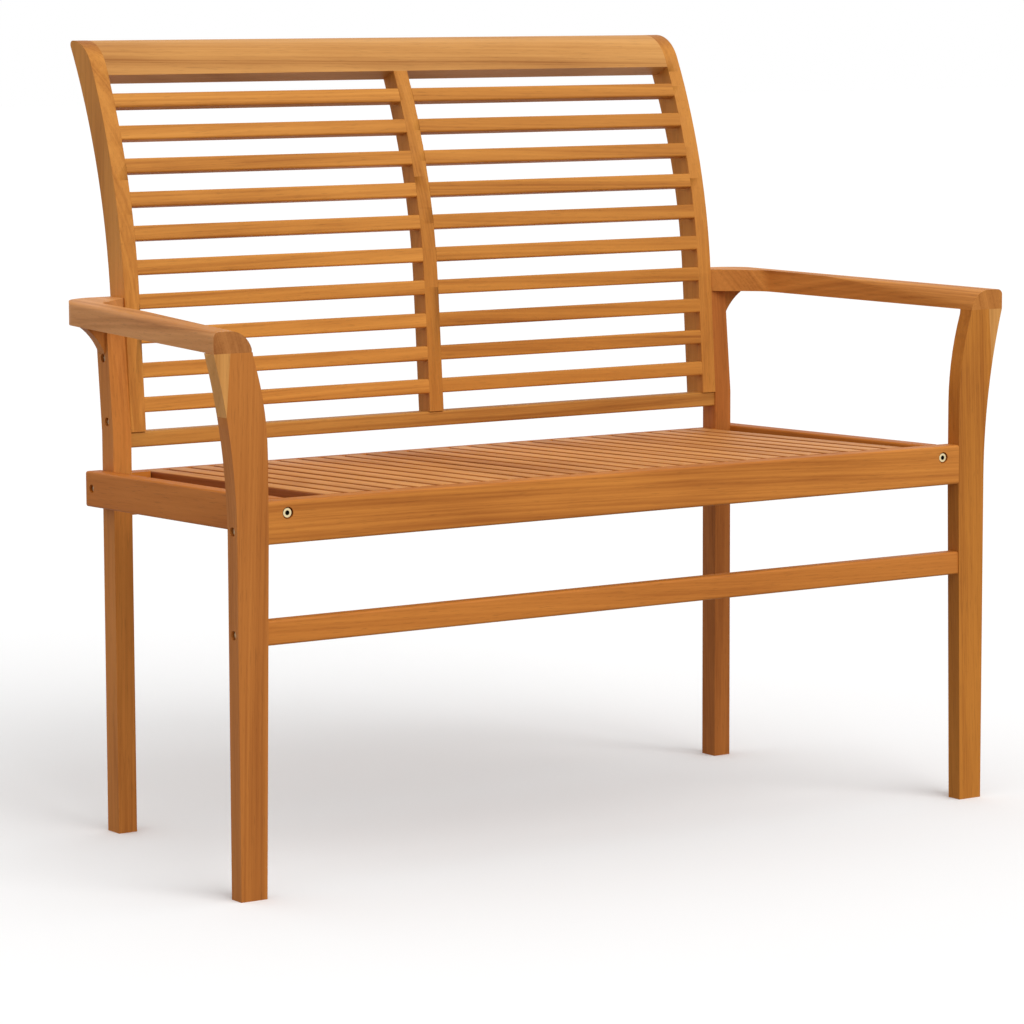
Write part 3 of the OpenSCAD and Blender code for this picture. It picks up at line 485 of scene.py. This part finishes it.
def ease(name, radius, material):
    mesh = eased_mesh(name)
    mesh.materials.append(material)
    piece = bpy.data.objects.new("eased_" + name, mesh)
    bpy.context.scene.collection.objects.link(piece)
    bevel = piece.modifiers.new("eased edges", "BEVEL")
    bevel.limit_method = "WEIGHT"
    bevel.width = radius
    bevel.segments = BEVEL_STEPS
    bevel.harden_normals = True
    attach(piece, "root")
    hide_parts(name)
    return piece


# Radius of the rounding on each family of pieces
EASE = {"leg": 0.002, "wedge": 0.002, "rail": 0.001, "side": 0.001, "seat": 0.001, "back": 0.0015,
        "crest": 0.002, "arm": 0.0025}
eased = {name: ease(name, EASE[family], teak[name])
         for name, (family, *_) in CUTS.items() if family in EASE}
print(len(eased), "pieces with eased edges")

# %% [markdown]
# ## What stays as it is
#
# The bearer and cleat under the seat and the dowels are seen little or not at all. Their solids are
# right already, so they keep them and only get their wood.

# %% Give the remaining wood its material
def give(name, material):
    nodes[name].data.materials.clear()
    nodes[name].data.materials.append(material)


kept = sorted(set(CUTS) - set(eased))
for name in kept:
    give(name, teak[name])
print("kept solids:", kept)

# %% [markdown]
# ## Bolts and screws
#
# One bolt with a socket shows at each end of the front rail: a pale brass-plated head with a dark
# socket, sunk in a round recess. The socket could be a second material on its faces. Its depth is
# only two millimetres, so a mask by the distance from the bolt's own axis darkens it with painted
# shade, for the shade deep in the socket, and the head keeps a single material. The screws in the
# open recesses of the legs are yellow zinc-plated steel.

# %% Make a metal
BRASS_COLOUR = (222, 204, 160)
ZINC_COLOUR = (206, 186, 148)
BRASS_ROUGH = 0.38
ZINC_ROUGH = 0.4
# Smudges per metre, how much they change the roughness, and their strength and height as relief
SMUDGES = 500
SMUDGE_ROUGH = 0.12
SMUDGE_STRENGTH = 0.1
SMUDGE_HEIGHT = 0.0001


def make_metal(name, colour, roughness):
    """A plated metal, and what is needed to change its colour: tree, shader and place."""
    material, tree = new_material(name)
    place = add(tree, "TexCoord").outputs["Object"]
    smudge = add(tree, "TexNoise", {"Vector": place, "Scale": SMUDGES, "Detail": 3}).outputs["Fac"]
    gloss = add(tree, "MapRange", {"Value": smudge, "To Min": roughness - SMUDGE_ROUGH,
                                   "To Max": roughness + SMUDGE_ROUGH})
    bump = add(tree, "Bump", {"Strength": SMUDGE_STRENGTH, "Distance": SMUDGE_HEIGHT,
                              "Height": smudge})
    shader = add(tree, "BsdfPrincipled", {"Base Color": tint(*colour), "Metallic": 1,
                                          "Roughness": gloss.outputs[0],
                                          "Normal": bump.outputs[0]})
    finish_material(tree, shader)
    return material, tree, shader, place


steel = make_metal("zinc_steel", ZINC_COLOUR, ZINC_ROUGH)[0]
screws = ("barrel_nuts", "frame_screws", "slat_screws")
for name in screws:
    give(name, steel)
print("zinc on", len(screws), "nodes")

# %% Make the bolts, with painted shade in their sockets
BOLT_HEAD_R = 0.00525
SOCKET_R = 0.0026
SOCKET_EDGE = 0.0003
# Painted shade for the inside of the socket, where shade falls deep in the hole
PAINTED_SOCKET_SHADE = (38, 32, 28)
BOLT_EASE = 0.0009

bolt_low, bolt_high = boxes["apron_bolts"]
bolt_x = bolt_high.x - BOLT_HEAD_R
bolt_z = (bolt_low.z + bolt_high.z)/2

brass, tree, shader, place = make_metal("brass_with_socket_shade", BRASS_COLOUR, BRASS_ROUGH)
axes = add(tree, "SeparateXYZ", {0: place})
either_side = add(tree, "Math", {0: axes.outputs["X"]}, operation="ABSOLUTE")
off_x = add(tree, "Math", {0: either_side.outputs[0], 1: bolt_x}, operation="SUBTRACT")
off_z = add(tree, "Math", {0: axes.outputs["Z"], 1: bolt_z}, operation="SUBTRACT")
off_axis = add(tree, "CombineXYZ", {"X": off_x.outputs[0], "Z": off_z.outputs[0]})
distance = add(tree, "VectorMath", {0: off_axis.outputs[0]}, operation="LENGTH").outputs["Value"]
beyond_socket = add(tree, "MapRange", {"Value": distance, "From Min": SOCKET_R,
                                       "From Max": SOCKET_R + SOCKET_EDGE})
# Painted shade inside the socket's radius, brass outside it
socket_shade_and_brass = add(tree, "MixRGB", {"Fac": beyond_socket.outputs[0], "Color1": tint(*PAINTED_SOCKET_SHADE),
                             "Color2": tint(*BRASS_COLOUR)})
tree.links.new(socket_shade_and_brass.outputs[0], shader.inputs["Base Color"])
eased["apron_bolts"] = ease("apron_bolts", BOLT_EASE, brass)
print("bolts at x", round(bolt_x, 4), "z", round(bolt_z, 4))

# %% [markdown]
# ## Floor and sky
#
# The bench stands on a plain pale floor in a studio with soft light. A studio could be built from
# large lamps on stands, but a pale sky all round does the same with less noise. The floor is nearly
# white to the camera and darker to the light that bounces off it, so undersides stay in shade as
# they do outdoors. The sky is also brighter to the camera and to mirrors than it is as a light.

# %% Make the floor
FLOOR_SIZE = 60
FLOOR_SEEN = (0.97, 0.97, 0.97, 1)
FLOOR_BOUNCE = (0.26, 0.25, 0.24, 1)


def seen_or_mirrored(tree):
    """1 on what the camera sees, directly or in something glossy, and 0 for all other light."""
    ray = add(tree, "LightPath").outputs
    return add(tree, "Math", {0: ray["Is Camera Ray"], 1: ray["Is Glossy Ray"]},
               operation="MAXIMUM").outputs[0]


half = FLOOR_SIZE/2
floor_mesh = bpy.data.meshes.new("floor")
floor_mesh.from_pydata([(-half, -half, 0), (half, -half, 0), (half, half, 0), (-half, half, 0)],
                       [], [(0, 1, 2, 3)])
floor = bpy.data.objects.new("floor", floor_mesh)
bpy.context.scene.collection.objects.link(floor)
floor_material, tree = new_material("pale_floor")
paper = add(tree, "MixRGB", {"Fac": seen_or_mirrored(tree), "Color1": FLOOR_BOUNCE,
                             "Color2": FLOOR_SEEN})
finish_material(tree, add(tree, "BsdfDiffuse", {"Color": paper.outputs[0]}))
floor_mesh.materials.append(floor_material)
print("floor", FLOOR_SIZE, "m wide")

# %% Make the sky
SKY_COLOUR = (1, 1, 1, 1)
SKY_LIGHT = 0.8
SKY_SEEN = 1

world = bpy.data.worlds.new("studio")
bpy.context.scene.world = world
world.use_nodes = True
tree = world.node_tree
tree.nodes.clear()
sky = add(tree, "Background", {"Color": SKY_COLOUR, "Strength": SKY_LIGHT})
white = add(tree, "Background", {"Color": SKY_COLOUR, "Strength": SKY_SEEN})
both = add(tree, "MixShader", {0: seen_or_mirrored(tree), 1: sky.outputs[0], 2: white.outputs[0]})
add(tree, "OutputWorld", {"Surface": both.outputs[0]})
print("sky lights at", SKY_LIGHT)

# %% [markdown]
# ## The lamp
#
# Daylight is brighter from above, which gives a slat a light top and a darker underside. The sky
# alone is equal all round. An area lamp could add the difference, but its light fades with distance,
# so one end of the bench would be darker. A sun lamp is equal everywhere, and a very wide one keeps
# the shadows soft.

# %% Make the lamp
LAMP_STRENGTH = 1.4
LAMP_WIDTH = math.radians(50)
# Direction of the lamp as seen from the bench: beside straight ahead, and above the horizon
LAMP_ASIDE = math.radians(8)
LAMP_HEIGHT = math.radians(38)

lamp = bpy.data.objects.new("soft_lamp", bpy.data.lights.new("soft_lamp", "SUN"))
lamp.data.energy = LAMP_STRENGTH
lamp.data.angle = LAMP_WIDTH
lamp.rotation_euler = (LEVEL - LAMP_HEIGHT, 0, LAMP_ASIDE)
bpy.context.scene.collection.objects.link(lamp)
bpy.context.scene.view_settings.view_transform = "Standard"
print("lamp strength", round(lamp.data.energy, 2))
